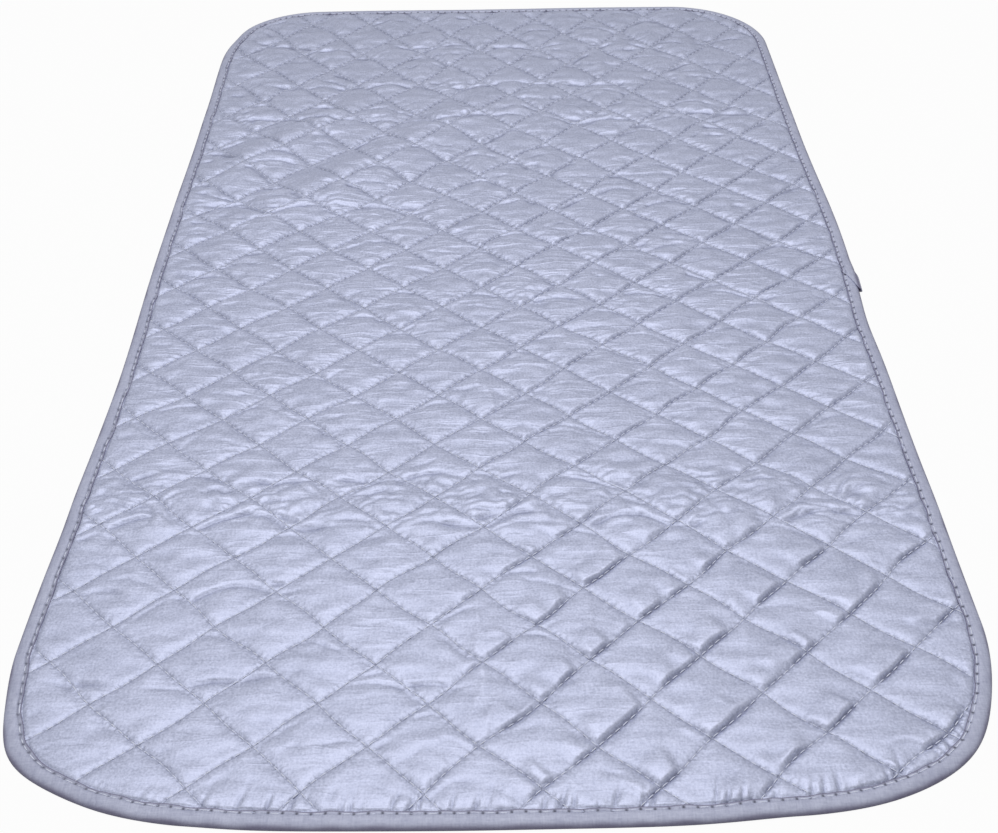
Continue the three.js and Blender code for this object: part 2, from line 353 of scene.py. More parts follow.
def lattice_grid(cells, inset):
    """Grid over the lattice with so many cells between neighbouring crossings.

    Points past the cut edge move straight in onto it, and only the quads that
    touch the inside stay. Returns a dict of arrays over the whole grid.
    """
    column = np.arange(FIRST_COLUMN * cells, LAST_COLUMN * cells + 1) / cells
    row = np.arange(FIRST_ROW * cells, LAST_ROW * cells + 1) / cells
    column, row = np.meshgrid(column, row, indexing="ij")
    x, y = lattice_point(column, row)
    depth, in_x, in_y = inside_outline(x, y)
    room = depth - inset
    past = np.minimum(room, 0)
    index = np.arange(column.size).reshape(column.shape)
    quads = np.stack([index[:-1, :-1], index[1:, :-1], index[1:, 1:], index[:-1, 1:]], -1)
    inside = room > 0
    touched = inside[:-1, :-1] | inside[1:, :-1] | inside[1:, 1:] | inside[:-1, 1:]
    return {
        "column": column,
        "row": row,
        "x": x - past * in_x,
        "y": y - past * in_y,
        "room": np.maximum(room, 0),
        "quads": quads[touched],
        "shape": column.shape,
    }


def keep_used(points, faces):
    """Drops the points that no face uses."""
    used, again = np.unique(faces, return_inverse=True)
    return points[used], again.reshape(faces.shape), used


def seam_numbers(column, row):
    """Place counted in seams of each family: a number is whole on its seam."""
    return (column + row) / 2, (column - row) / 2


def seam_distance(column, row):
    """Distances to the nearest seam of each family, in diamonds' sides: 0 on a seam
    and 0.5 midway between two."""
    first, second = seam_numbers(column, row)
    return np.abs(first - np.round(first)), np.abs(second - np.round(second))


def pillow(column, row):
    """Plain swelling of a diamond: product of two sines across it, flattened."""
    first, second = seam_distance(column, row)
    return (np.sin(np.pi * first) * np.sin(np.pi * second)) ** 0.7


def sewn_cloth():
    """Face fabric sewn down along the seams and blown up by the wadding.

    The cloth starts as low pillows with cross wrinkles, is a little larger than
    the seams leave room for, and Blender's cloth solver lets it buckle under a
    light pressure. Returns its moves from the flat lattice on the cloth's grid.
    """
    grid = lattice_grid(CLOTH_CELLS, EDGE_INSET)
    column, row, x, y = (grid[key].ravel() for key in ("column", "row", "x", "y"))
    room = grid["room"].ravel()
    first, second = seam_distance(column, row)
    dome = pillow(column, row) * np.clip(room / 15, 0, 1)
    share = 0.38 + 0.35 * bells(y, FOLD_WRINKLES)
    wrinkle = waves(x, y, 5, 30, 8, 19, np.pi / 2, 0.35) * share
    height = 1.6 * dome + wrinkle * np.minimum(1, 2 * dome)
    start = np.stack([x, y, height], 1)
    held = (first < 1e-6) | (second < 1e-6) | (room < HELD_EDGE)
    points, faces, used = keep_used(start, grid["quads"])
    mesh = bpy.data.meshes.new("cloth")
    mesh.from_pydata((points * CLOTH_SCALE).tolist(), [], faces.tolist())
    cloth = bpy.data.objects.new("cloth", mesh)
    bpy.context.scene.collection.objects.link(cloth)
    pins = cloth.vertex_groups.new(name="sewn")
    pins.add(np.nonzero(held[used])[0].tolist(), 1.0, "REPLACE")
    modifier = cloth.modifiers.new("cloth", "CLOTH")
    settings = modifier.settings
    for key, value in {
        "quality": 5, "mass": 0.3, "air_damping": 1, "tension_stiffness": 15,
        "compression_stiffness": 15, "shear_stiffness": 5, "bending_stiffness": 6,
        "tension_damping": 5, "compression_damping": 5, "shear_damping": 5,
        "bending_damping": 0.5, "vertex_group_mass": "sewn", "pin_stiffness": 1,
        "use_pressure": True, "uniform_pressure_force": 0.5, "shrink_min": -0.02,
    }.items():
        setattr(settings, key, value)
    settings.effector_weights.gravity = 0
    modifier.collision_settings.use_collision = False
    modifier.point_cache.frame_end = CLOTH_FRAMES
    for step in range(1, CLOTH_FRAMES + 1):
        bpy.context.scene.frame_set(step)
    shown = cloth.evaluated_get(bpy.context.evaluated_depsgraph_get()).data
    found = np.empty(len(points) * 3)
    shown.vertices.foreach_get("co", found)
    moved = start.copy()
    moved[used] = found.reshape(-1, 3) / CLOTH_SCALE
    bpy.data.objects.remove(cloth)
    bpy.data.meshes.remove(mesh)
    bpy.context.scene.frame_set(1)
    away = moved - np.stack([x, y, np.zeros_like(x)], 1)
    away[:, :2] = np.clip(away[:, :2], -CLOTH_SLIDE, CLOTH_SLIDE)
    away[:, 2] = np.clip(away[:, 2], -CLOTH_SINK, CLOTH_RISE)
    return away.reshape(grid["shape"] + (3,))


def twice_as_fine(field):
    """Halves the grid's step: a new point between two old ones takes nine
    sixteenths of each less one sixteenth of the next on either side."""
    for axis in (0, 1):
        field = np.moveaxis(field, axis, 0)
        padded = np.concatenate([field[:1], field, field[-1:]])
        between = (9 * (padded[1:-2] + padded[2:-1]) - padded[:-3] - padded[3:]) / 16
        finer = np.empty((2 * len(field) - 1,) + field.shape[1:])
        finer[::2] = field
        finer[1::2] = between
        field = np.moveaxis(finer, 0, axis)
    return field


def per_diamond(m, n, seed):
    """One random share from 0 to 1 for each diamond of the quilting."""
    table = np.random.default_rng(seed).random((DRAWN, DRAWN))
    return table[m + DRAWN // 2, n + DRAWN // 2]


def valley(past, after, before):
    """Crease or ridge seen across: 1 on its line, falling off on both sides as
    exponentials, of one width where past is positive and another where it isn't."""
    return np.exp(-np.where(past > 0, past / after, -past / before))


def creases(first, second, x, y):
    """Arched creases across the diamonds, all following below = start + bend *
    aside^2, where below is the way down from a diamond's far corner and aside the
    way off its middle line: one that cuts off the far corner and two fainter ones.
    Between them run small crumples, which lie where a sum of waves along the arches
    passes through nought, and which crowd where the pad was folded in its pack."""
    m, n = np.floor(first).astype(int), np.floor(second).astype(int)
    a, b = m + 1 - first, second - n
    below = (a + b) * DIAMOND_LENGTH / 2
    aside = (b - a) * DIAMOND_WIDTH / 2
    calm = smooth((x - 10) / 90) * smooth((-y - 255) / 50)
    bend = 1.3 * waves(x, y, 41, 12, 22, 60, 0.8, 1.4) + 0.45 * waves(x, y, 44, 12, 8, 20, 0.8, 1.4)
    height = np.zeros_like(x)
    remote = 0.62 + 1.15 * smooth((y + 140) / 340)
    for seed, low, high, bow, depth, rare in ARCHED_CREASES:
        start = low + (high - low) * per_diamond(m, n, seed)
        tilt = 0.4 * (per_diamond(m, n, seed + 10) - 0.5)
        strength = smooth((per_diamond(m, n, seed + 20) - rare) / 0.5)
        strength = strength * smooth(0.7 + 0.5 * waves(x, y, seed + 30, 10, 14, 40, 0, 1.5))
        past = below - start - bow * aside ** 2 - tilt * aside + bend
        height = height - depth * strength * remote * valley(past, 2.6, remote) * (1 - 0.8 * calm)
    folded = flat_bell(y + 225, 20) + 0.5 * flat_bell(y - 212, 12)
    folded = folded + 0.4 * flat_bell(y + 36, 14) * smooth((x + 120) / 80)
    folded = folded + 0.4 * flat_bell(y - 78, 13) * smooth((-x + 20) / 80)
    folded = folded + 0.3 * flat_bell(y - 345, 12) + 0.3 * flat_bell(y - 268, 8)
    down = below - 0.014 * aside ** 2 + 1.6 * bend + 90 * per_diamond(m, n, 91)
    crumple = np.abs(waves(aside + 90 * per_diamond(m, n, 92), down, 45, 16, 9, 20, np.pi / 2, 0.45))
    crumple = np.minimum(crumple, 1.3) ** 0.8 - 0.75
    patch = smooth(0.5 + 0.5 * waves(x, y, 43, 16, 25, 70, 0.6, 1.6))
    close = smooth((-y - 260) / 40)
    smaller = 0.26 * patch * remote * (1 - 0.5 * close - 0.4 * calm)
    return height + 1.05 * crumple * (0.75 * folded * (0.6 + 0.4 * patch) + smaller)


def long_creases(first, second, x, y):
    """Creases from side to side, each a valley near one y that bows in every
    diamond, and ridges from near to far, each falling off as an exponential to both
    sides of one x."""
    aside = (second - np.floor(second) + first - np.floor(first) - 1) * DIAMOND_WIDTH / 2
    height = np.zeros_like(x)
    steep = 1.0 + 0.8 * smooth((y + 100) / 200)
    for seed, (place, low, high, weight) in enumerate(CROSS_CREASES):
        wobble = 3.0 * waves(x, 0 * y, 101 + seed, 8, 60, 190, 0, 0.1)
        past = place + wobble - 0.012 * aside ** 2 - y
        share = smooth((x - low) / 45) * smooth((high - x) / 45)
        uneven = smooth(0.6 + 0.45 * waves(x, 0 * y, 131 + seed, 8, 35, 110, 0, 0.1))
        depth = CROSS_DEPTH * weight * share * uneven * steep
        height = height - depth * valley(past, 2.8, steep)
    for seed, (place, low, high, weight) in enumerate(LONG_RIDGES):
        wobble = 1.8 * waves(0 * x, y, 161 + seed, 8, 25, 90, np.pi / 2, 0.1)
        off = x - place - wobble
        share = smooth((y - low) / 20) * smooth((high - y) / 20)
        height = height + RIDGE_HEIGHT * weight * share * valley(off, 1.1, 2.2)
    return height


def outline_path():
    """Dense points once round the outline, clockwise from above, from the join on
    the right side: x, y and the way inwards, and the distance run."""
    points = [np.array([[HALF_WIDTH, JOIN_Y, -1, 0]])]
    for turn, (sign_x, sign_y) in enumerate(((1, -1), (-1, -1), (-1, 1), (1, 1))):
        angle = -np.pi / 2 * (turn + np.linspace(0, 1, 200))
        out = np.stack([np.cos(angle), np.sin(angle)], 1)
        radius = float(corner_radius(sign_x, sign_y))
        centre = np.array([sign_x * (HALF_WIDTH - radius), sign_y * (HALF_LENGTH - radius)])
        points.append(np.concatenate([centre + radius * out, -out], 1))
    points.append(np.array([[HALF_WIDTH, JOIN_Y, -1, 0]]))
    path = np.concatenate(points)
    run = np.concatenate([[0], np.cumsum(np.hypot(*np.diff(path[:, :2], axis=0).T))])
    return run, path


RUN, PATH = outline_path()


def run_along(x, y):
    """Distance along the outline of the outline's point nearest to a point, found
    from that nearest point's angle about the pad's middle."""
    depth, in_x, in_y = inside_outline(x, y)
    turned = np.unwrap(np.arctan2(PATH[:, 1], PATH[:, 0]))
    angle = np.arctan2(y - depth * in_y, x - depth * in_x)
    angle = np.where(angle > turned[0], angle - 2 * np.pi, angle)
    return np.interp(-angle, -turned, RUN)


def edge_tucks(room, x, y):
    """Tucks where the binding gathers the face, one slanting from every stitch hole,
    of uneven depth, strongest along the near edge: thin valleys deepest at the tape
    and gone some ten millimetres in."""
    run = run_along(x, y)
    beat = run / STITCH_PITCH + 0.05 * room + 0.22 * waves(run, 0 * run, 51, 8, 10, 40, 0, 0.1)
    uneven = smooth(0.45 + 0.6 * waves(run, 0 * run, 52, 10, 9, 45, 0, 0.1))
    tuck = bell(np.sin(np.pi * beat), 0.38) * uneven
    gathered = smooth((-y - 330) / 60) * smooth((x + 170) / 60)
    length = 3.0 + 4.0 * uneven
    reach = np.exp(-(np.maximum(room - 5, 0) / length) ** 1.5)
    return -(0.4 + 2.0 * gathered) * tuck * reach


def wall(distance, power, width):
    """Side of a pillow: 1 - exp(-(distance / width)^power)."""
    return 1 - np.exp(-(distance / width) ** power)


def pillow_sides(x, y, side_first, side_second):
    """Sides of the pillows, from 0 on a seam to 1 inside: the product of a wall that
    rises from the first seams and one that rises from the second. On the right the
    pillows swell boldly over one side of the second seams, where a steep lip takes
    the plain wall's place. Returns the sides, and the shares bold and over a seam."""
    near_first, near_second = np.abs(side_first), np.abs(side_second)
    bold = smooth((x + 70) / 120) * (0.25 + 0.75 * smooth((-y - 220) / 60)) * smooth((160 - y) / 90)
    bold = bold * smooth(0.6 + 0.7 * waves(x, y, 81, 12, 18, 50, 0.7, 0.6))
    over = bold * (side_second < 0) * smooth((SIDE / 2 - near_second) / 9)
    plain = wall(near_second, 1, 1.9)
    width = np.maximum(1.5 + 0.45 * waves(x, y, 82, 10, 12, 40, 0.7, 1.5), 0.8)
    lip = wall(near_second, 5, width)
    beyond = wall(near_first, 1, np.where(side_first > 0, 1.7, 2.6))
    return beyond * (plain + over * (lip - plain)), bold, over


def stitch_gathers(x, y, first, second, side_first, side_second):
    """Gathers at the stitches of both families: a cosine with one crest for each
    stitch, its phase jittered, within a bell from the seam."""
    jitter = 1.7 * waves(x, y, 85, 12, 8, 26, 0.5, 1.5)
    turn = 2 * np.pi * STITCHES
    reach = np.where(side_first > 0, 3.0, 1.6)
    at_first = np.cos(turn * second + jitter) * bell(np.abs(side_first), reach)
    return at_first + np.cos(turn * first + jitter) * bell(np.abs(side_second), 2)


def face_surface(away):
    """The face fabric's outer surface on the fine grid, in pad millimetres: pillows
    with steep sides and flat tops, the buckles of the sewn cloth on them, gathers at
    the stitches, and creases. It goes level under the binding, with its points
    pinched together where it drops to the tape."""
    grid = lattice_grid(FINE_CELLS, EDGE_INSET)
    moves = twice_as_fine(away)
    x = grid["x"] + moves[..., 0]
    y = grid["y"] + moves[..., 1]
    room = grid["room"]
    dome = pillow(grid["column"], grid["row"]) * np.clip(room / 15, 0, 1)
    swell = (moves[..., 2] * dome).sum() / (dome ** 2).sum()
    buckles = moves[..., 2] - swell * dome
    first, second = seam_numbers(grid["column"], grid["row"])
    side_first = (first - np.round(first)) * SIDE
    side_second = (second - np.round(second)) * SIDE
    near_first, near_second = np.abs(side_first), np.abs(side_second)
    sides, bold, over = pillow_sides(x, y, side_first, side_second)
    gathers = stitch_gathers(x, y, first, second, side_first, side_second)
    lively = 0.1 + 0.9 * smooth(0.4 + 0.7 * waves(x, y, 83, 12, 7, 26, 0.5, 1.5))
    off_seam = smooth(np.minimum(near_first, near_second) / 2.5)
    plump = 1.0 + 0.8 * smooth((y + 340) / 400) + 1.1 * over
    fuller = smooth((y + 320) / 200)
    height = plump * sides + (0.22 + 0.2 * fuller) * dome
    height = height + (0.28 + 0.16 * fuller) * buckles - 0.16 * lively * gathers
    folded = creases(first, second, x, y) + long_creases(first, second, x, y)
    height = height + folded * off_seam
    height = height - 0.55 * bold * bell(near_second, 1.2)
    pucker = smooth((x + 60) / 100) * smooth((y + 230) / 60) * smooth((240 - y) / 80)
    pucker = pucker * (0.4 + 0.6 * lively)
    height = height + 0.5 * pucker * bell(near_second - 2.1, 0.9)
    inner = 0.6 * smooth((room - 5.6) / 1.2) + 0.4 * smooth((room - 5.6) / 4.5)
    height = height * inner + edge_tucks(room, x, y) * smooth((room - 4.5) / 2)
    groove = 0.45 * bell(room - 5.7, 0.7)
    height = SEAM_TOP - 0.35 + 0.25 * smooth((8 - room) / 2) + height - groove
    grid["height"] = np.maximum(height, LOWEST_FACE) + lift(x, y)
    _, in_x, in_y = inside_outline(x, y)
    pinch = -0.65 * (room - 6.1) * bell(room - 6.1, 1.4)
    grid["x"], grid["y"] = x + pinch * in_x, y + pinch * in_y
    grid["chart"] = np.stack([first, second], -1)
    return grid


def lowest_near(height, reach):
    """Lowest height within so many cells either way along both axes of a grid."""
    for axis in (0, 1):
        padded = np.pad(height, [(reach, reach) if a == axis else (0, 0) for a in (0, 1)], mode="edge")
        size = height.shape[axis]
        slices = [np.take(padded, range(k, k + size), axis) for k in range(2 * reach + 1)]
        height = np.minimum.reduce(slices)
    return height


def below_mean(height, reach):
    """How far each point of a grid lies under the mean of its surroundings, which is
    taken over so many cells either way along both axes, twice."""
    mean = height
    for axis in (0, 1, 0, 1):
        steps = range(-reach, reach + 1)
        mean = sum(np.roll(mean, step, axis) for step in steps) / len(steps)
    return mean - height


def rim_ring(faces):
    """The edges that only one face has, chained into a ring of point numbers."""
    start = faces.ravel().astype(np.int64)
    end = np.roll(faces, -1, axis=1).ravel().astype(np.int64)
    kept = start != end
    start, end = start[kept], end[kept]
    size = max(start.max(), end.max()) + 1
    single = ~np.isin(start * size + end, end * size + start)
    ahead = dict(zip(start[single].tolist(), end[single].tolist()))
    ring = [next(iter(ahead))]
    while ahead[ring[-1]] != ring[0]:
        ring.append(ahead[ring[-1]])
    return np.array(ring)


def rim_band(faces, count):
    """Quads that join a sheet's rim to the rim of its copy, whose points' numbers
    are higher by the count."""
    ring = rim_ring(faces)
    after = np.roll(ring, -1)
    return np.stack([ring, ring + count, after + count, after], 1)


def block_faces(grid):
    """Faces of the underside: one large face for each block of cells that lies
    wholly inside, with every point along a side where small faces meet it, and the
    grid's own small faces elsewhere. All are turned to face down."""
    columns, rows = (size - 1 for size in grid["shape"])
    kept = np.zeros(grid["shape"], bool)
    place = np.unravel_index(grid["quads"][:, 0], grid["shape"])
    kept[place] = True
    step = BLOCK_CELLS
    cells = kept[:columns, :rows].reshape(columns // step, step, rows // step, step)
    whole = np.pad(cells.all((1, 3)), 1)
    number = np.arange(grid["column"].size).reshape(grid["shape"])
    large = []
    for i, j in zip(*np.nonzero(whole[1:-1, 1:-1])):
        a, b = i * step, j * step
        sides = (
            (number[a:a + step, b], whole[i + 1, j]),
            (number[a + step, b:b + step], whole[i + 2, j + 1]),
            (number[a + step:a:-1, b + step], whole[i + 1, j + 2]),
            (number[a, b + step:b:-1], whole[i, j + 1]),
        )
        ring = [point for side, plain in sides for point in (side[:1] if plain else side)]
        large.append(ring[::-1])
    in_whole = whole[1:-1, 1:-1].repeat(step, 0).repeat(step, 1)
    small = grid["quads"][~in_whole[place]]
    return small[:, ::-1], large


def quilted_face(away):
    """Face fabric as a closed piece: its fine outer surface, and an underside of
    large faces that stays below every dip of the outer one."""
    grid = face_surface(away)
    count = grid["column"].size
    top = np.stack([grid["x"], grid["y"], grid["height"]], -1).reshape(count, 3)
    raised = lift(grid["x"], grid["y"])
    low = lowest_near(grid["height"] - raised, BLOCK_CELLS) + raised - FACE_THICKNESS
    bottom = np.column_stack([top[:, :2], low.ravel()])
    small, large = block_faces(grid)
    band = rim_band(grid["quads"], count)
    points = np.concatenate([top, bottom])
    used = np.zeros(2 * count, bool)
    large = [[point + count for point in face] for face in large]
    for faces in (grid["quads"], small + count, band, np.concatenate(large)):
        used[faces.ravel()] = True
    again = np.cumsum(used) - 1
    grid["low"] = low
    faces = [again[grid["quads"]], again[small + count], again[band]]
    chart = np.tile(grid["chart"].reshape(count, 2), (2, 1))[used]
    faces.append([again[face] for face in large])
    # How far each point lies under its surroundings: the face's material turns it into painted shade
    # in hollows and painted highlight on raised points.
    hollow = np.tile(below_mean(grid["height"], HOLLOW_REACH).ravel(), 2)[used]
    return mesh_object("quilted_face", points[used], *faces, chart=chart, hollow=hollow), grid


def closed_shell(name, grid, top, bottom):
    """Closed piece between two heights over a grid, joined by a band at its rim."""
    count = grid["column"].size
    plan = np.stack([grid["x"].ravel(), grid["y"].ravel()], 1)
    points = np.concatenate([
        np.column_stack([plan, top.ravel()]), np.column_stack([plan, bottom.ravel()]),
    ])
    band = rim_band(grid["quads"], count)
    faces = np.concatenate([grid["quads"], grid["quads"][:, ::-1] + count, band])
    points, faces, _ = keep_used(points, faces)
    return mesh_object(name, points, faces)


def backing_rise(column, row, room):
    """How far the seams pull the backing up off the table, above the lift."""
    first, second = seam_distance(column, row)
    near = np.minimum(first, second) * SIDE
    return 0.4 * bell(near, 4.5) * smooth(room / 9) + 0.55 * smooth(1 - room / 6)


def backing():
    """Backing fabric: low pillows between the seams, pressed level at the binding."""
    grid = lattice_grid(BACKING_CELLS, EDGE_INSET)
    bottom = lift(grid["x"], grid["y"]) + backing_rise(grid["column"], grid["row"], grid["room"])
    return closed_shell("backing", grid, bottom + BACKING_THICKNESS, bottom)


def wadding(face_low):
    """Batting: fills from just over the backing to just under the face fabric."""
    grid = lattice_grid(WADDING_CELLS, EDGE_INSET + WADDING_INSET)
    step = FINE_CELLS // WADDING_CELLS
    bottom = lift(grid["x"], grid["y"]) + BACKING_THICKNESS + WADDING_OVER_BACKING
    bottom = bottom + backing_rise(grid["column"], grid["row"], grid["room"])
    top = np.maximum(face_low[::step, ::step] - WADDING_UNDER_FACE, bottom + WADDING_THINNEST)
    return closed_shell("wadding", grid, top, bottom)


def make_camera():
    """Camera whose forward is pitched down and turned, then rolled about its axis."""
    data = bpy.data.cameras.new("camera")
    data.sensor_fit = "HORIZONTAL"
    data.sensor_width = SENSOR
    data.lens = FOCAL_PIXELS / PHOTO_WIDTH * SENSOR
    data.clip_start = 0.01
    camera = bpy.data.objects.new("camera", data)
    bpy.context.scene.collection.objects.link(camera)
    turn = Matrix.Rotation(CAMERA_YAW, 3, "Z")
    right = turn @ Vector((1, 0, 0))
    down = turn @ Vector((0, -math.sin(CAMERA_PITCH), -math.cos(CAMERA_PITCH)))
    forward = turn @ Vector((0, math.cos(CAMERA_PITCH), -math.sin(CAMERA_PITCH)))
    rolled_right = math.cos(CAMERA_ROLL) * right + math.sin(CAMERA_ROLL) * down
    rolled_up = math.sin(CAMERA_ROLL) * right - math.cos(CAMERA_ROLL) * down
    axes = Matrix((rolled_right, rolled_up, -forward)).transposed()
    place = Vector(CAMERA_PLACE) + Vector((PAD_SHIFT_X, 0, 0))
    camera.matrix_world = Matrix.Translation(place * MM) @ axes.to_4x4()
    bpy.context.scene.camera = camera


class Wire:
    """A shader socket that takes part in sums: an operator adds its Math node."""

    def __init__(self, finish, socket):
        self.finish = finish
        self.socket = socket

    def sum_up(self, operation, left, right):
        """Math node of two inputs, each a Wire or a number."""
        return self.finish.node("ShaderNodeMath", {"operation": operation}, {0: left, 1: right})

    def __add__(self, other):
        return self.sum_up("ADD", self, other)

    __radd__ = __add__

    def __sub__(self, other):
        return self.sum_up("SUBTRACT", self, other)

    def __rsub__(self, other):
        return self.sum_up("SUBTRACT", other, self)

    def __mul__(self, other):
        return self.sum_up("MULTIPLY", self, other)

    __rmul__ = __mul__

    def bell(self, width):
        """exp(-(self / width)^2)"""
        return (self * self * (-1 / width ** 2)).alone("EXPONENT")

    def alone(self, operation, other=0.5):
        """One Math operation on the socket. A ping-pong runs from 0 to the other number."""
        return self.sum_up(operation, self, other)

    def between(self, low, high):
        """The socket's value held between two numbers."""
        return self.alone("MAXIMUM", low).alone("MINIMUM", high)


class Finish:
    """A material: its Principled shader's own sockets, and nodes that feed them."""

    def __init__(self, name, **constants):
        self.material = bpy.data.materials.new(name)
        self.material.use_nodes = True
        self.tree = self.material.node_tree
        self.shader = self.tree.nodes["Principled BSDF"]
        for key, value in constants.items():
            self.shader.inputs[key.replace("_", " ")].default_value = value

    def node(self, kind, settings=None, inputs=None, output=0):
        """Adds a node, sets its settings, fills its sockets, and returns an output."""
        made = self.tree.nodes.new(kind)
        for key, value in (settings or {}).items():
            setattr(made, key, value)
        for key, value in (inputs or {}).items():
            self.feed(made.inputs[key], value)
        return Wire(self, made.outputs[output])

    def feed(self, socket, value):
        """Links a Wire to a socket, or sets the socket's own value."""
        if isinstance(value, Wire):
            self.tree.links.new(value.socket, socket)
        else:
            socket.default_value = value

    def set(self, key, value):
        """Feeds one of the Principled shader's sockets."""
        self.feed(self.shader.inputs[key], value)

    def place(self, scale):
        """Object coordinates, stretched."""
        where = self.node("ShaderNodeTexCoord", output="Object")
        return self.node("ShaderNodeMapping", None, {"Vector": where, "Scale": scale})

    def chart(self):
        """Both coordinates of the piece's own pattern map."""
        where = self.node("ShaderNodeUVMap", {"uv_map": "pattern"})
        apart = {"Vector": where}
        return [self.node("ShaderNodeSeparateXYZ", None, apart, axis) for axis in ("X", "Y")]

    def point_value(self, name):
        """A number that the mesh keeps for each point."""
        return self.node("ShaderNodeAttribute", {"attribute_name": name}, None, "Fac")

    def object_axis(self, axis):
        """One object coordinate, in metres."""
        return self.node("ShaderNodeSeparateXYZ", None, {"Vector": self.place((1, 1, 1))}, axis)

    def noise(self, scale, detail):
        """Noise between 0 and 1 on stretched object coordinates."""
        inputs = {"Vector": self.place(scale), "Scale": 1.0, "Detail": detail}
        return self.node("ShaderNodeTexNoise", None, inputs, "Fac")

    def weave(self, fine, coarse, detail):
        """Woven threads, both ways in equal shares: noise that changes finely across
        a thread and coarsely along it."""
        weft = self.noise((coarse, fine, coarse), detail)
        warp = self.noise((fine, coarse, coarse), detail)
        return weft * 0.5 + warp * 0.5

    def blend(self, factor, low, high):
        """Colour between two colours."""
        inputs = {0: factor, 6: low, 7: high}
        return self.node("ShaderNodeMix", {"data_type": "RGBA"}, inputs, 2)

    def bump(self, height, distance, strength=1.0):
        """Normal of a surface raised by a height times a distance in metres."""
        inputs = {"Height": height, "Distance": distance, "Strength": strength}
        return self.node("ShaderNodeBump", None, inputs, "Normal")


def colour(red, green, blue):
    """Scene colour of a screen colour given in 0 to 255."""
    values = [(v / 255 / 12.92) if v < 10.3 else ((v / 255 + 0.055) / 1.055) ** 2.4
              for v in (red, green, blue)]
    return (*values, 1.0)


def silver_fabric():
    """Silver-coated plain weave. Its pattern map counts diamonds, so a seam lies
    where a coordinate is whole, and stitches' holes at equal parts between. Its
    colour has painted shade along the seam lines and in the needle holes, painted
    shade where a point is hollow, which is how far it lies under its surroundings,
    and a painted highlight where a point stands above them.
    Fine wrinkles across the pad are bells about the middle of a stretched noise.
    Heights in the bump are millimetres."""
    finish = Finish("silver_fabric", Metallic=0.45, Roughness=0.5)
    weave = finish.weave(1400, 150, 3.0)
    grain = finish.noise((850, 850, 850), 1.0)
    cloudy = finish.noise((26, 34, 26), 3.0)
    hollow = finish.point_value("hollow")
    # Painted shade and painted highlight: the tone falls where a point is hollow and rises where it
    # stands above its surroundings.
    tone = (weave - 0.5) * 0.6 + (cloudy - 0.5) * 0.35 + (grain - 0.5) * 1.1 + 0.52 - hollow * 0.25
    relief = (weave - 0.5) * 0.09 + grain * 0.08
    seam = 0.0
    wander = finish.noise((140, 140, 140), 2.0)
    across, along = finish.chart()
    for one, other, depth in ((across, along, 0.2), (along, across, 0.5)):
        near = one.alone("PINGPONG") * SIDE
        beat = (other * STITCHES).alone("PINGPONG") * (SIDE / STITCHES)
        # Painted shade along the crease of each seam and in its needle holes.
        line = near.bell(0.5)
        hole = (near * near + beat * beat).alone("SQRT").bell(0.5)
        gathers = (beat * 1.28 + wander * 12.0).alone("COSINE") * near.bell(2.4)
        relief = relief - line * 0.18 - hole * 0.08 - gathers * 0.1
        seam = hole * 0.5 + line * depth + seam
    fine = finish.noise((20, 105, 20), 3.0)
    ridge = (fine - 0.5).bell(0.045)
    middle = finish.object_axis("Y").bell(0.18)
    relief = relief + ridge * cloudy * (middle * 0.4 + 0.12)
    light = finish.blend(tone, colour(162, 168, 193), colour(216, 221, 245))
    # Painted shade at the seam lines and needle holes, capped.
    shade = (seam * 0.16).alone("MINIMUM", 0.16)
    # Painted shade in hollows, towards the dark shade colour below.
    shade = shade + ((hollow - 0.3) * 0.5).between(0.0, 0.45)
    # Base colour: the fabric's tone blended towards a dark painted-shade colour by the painted shade.
    finish.set("Base Color", finish.blend(shade, light, colour(100, 102, 128)))
    finish.set("Roughness", grain * 0.16 + 0.5)
    finish.set("Normal", finish.bump(relief, MM))
    return finish.material


def backing_weave():
    """Matt plain weave in grey."""
    finish = Finish("backing_weave", Roughness=0.85)
    weave = finish.weave(1500, 60, 2.0)
    finish.set("Base Color", finish.blend(weave, colour(172, 173, 177), colour(196, 197, 200)))
    finish.set("Normal", finish.bump(weave, 0.00012, 0.8))
    return finish.material


def tape_fabric():
    """Matt woven tape, with painted shade on its rounded fold, a painted contact
    shadow at its inner edge, and painted shade in the needle holes along its seam,
    which on the far left run together into a line. Its pattern map gives stitches
    along and millimetres in from the fold."""
    finish = Finish("tape_fabric", Metallic=0.1, Roughness=0.6)
    weave = finish.weave(1300, 200, 3.0)
    grain = finish.noise((1000, 1000, 1000), 1.0)
    cloudy = finish.noise((45, 45, 45), 3.0)
    tone = (weave - 0.5) * 1.4 + (cloudy - 0.5) * 0.5 + (grain - 0.5) * 0.4 + 0.5
    across, inwards = finish.chart()
    beat = across.alone("PINGPONG") * STITCH_PITCH
    near = inwards - STITCH_DEPTH
    # Painted shade in each needle hole; on the far left it also runs as a painted shade line along the
    # seam.
    hole = (near * near + beat * beat).alone("SQRT").bell(0.62)
    leftmost = (finish.object_axis("X") * -8.0 - 0.9).between(0.0, 1.0)
    hole = hole * (1 - leftmost * 0.55) + near.bell(0.4) * (leftmost * 0.35)
    fabric = finish.blend(tone, colour(151, 155, 181), colour(200, 204, 225))
    # Painted shade on the rounded fold, where the tape turns down to the table, and a painted contact
    # shadow along its inner edge.
    under = inwards.bell(1.4) * 0.75 + (inwards - TAPE_WIDTH).bell(0.5) * 0.8
    # The tape's colour with that painted shade and painted contact shadow.
    fabric = finish.blend(under, fabric, colour(94, 86, 116))
    # Painted shade of the needle holes over the tape's colour.
    finish.set("Base Color", finish.blend(hole * 0.85, fabric, colour(62, 62, 80)))
    relief = (weave - 0.5) * 0.12 + grain * 0.05 - hole * 0.5 - near.bell(0.6) * 0.15
    finish.set("Normal", finish.bump(relief, MM))
    return finish.material


